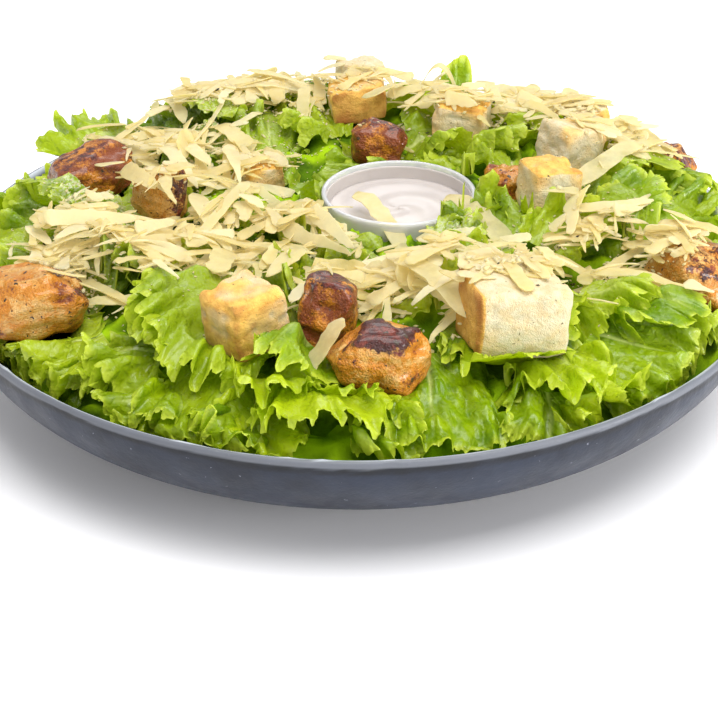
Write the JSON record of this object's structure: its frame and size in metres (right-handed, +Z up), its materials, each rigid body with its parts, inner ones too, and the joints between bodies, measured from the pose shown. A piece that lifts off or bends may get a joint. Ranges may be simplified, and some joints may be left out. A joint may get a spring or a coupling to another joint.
{
  "type": "caesar salad",
  "caption": "Wide stoneware bowl heaped with frilled lettuce, grilled chicken, bread cubes and shaved cheese round a glass pot of dressing.",
  "frame": {"origin": "middle of the bowl's foot, on the surface that it stands on", "axes": "+Z up; +Y away from the side that faces the diner, +X to the diner's right"},
  "size_m": [0.27, 0.27, 0.0787],
  "materials": {
    "stoneware": "satin slate-blue stoneware with a pale worn lip",
    "glass": "clear polished glass",
    "dressing": "smooth creamy dressing",
    "bread": "toasted bread crumb and crust",
    "chicken": "grilled, browned and lightly glazed",
    "lettuce": "fresh green leaf, waxy sheen",
    "cheese": "shaved hard cheese, slightly translucent"
  },
  "bodies": {
    "root": {"bowl": "stoneware", "pot": "glass", "dressing": "dressing", "crouton_1": "bread", "crouton_2": "bread", "crouton_3": "bread", "crouton_4": "bread", "crouton_5": "bread", "crouton_6": "bread", "crouton_7": "bread", "crouton_8": "bread", "crouton_9": "bread", "chicken_1": "chicken", "chicken_2": "chicken", "chicken_3": "chicken", "chicken_4": "chicken", "chicken_5": "chicken", "chicken_6": "chicken", "chicken_7": "chicken", "chicken_8": "chicken", "chicken_9": "chicken", "salad": "lettuce"}
  },
  "joints": []
}
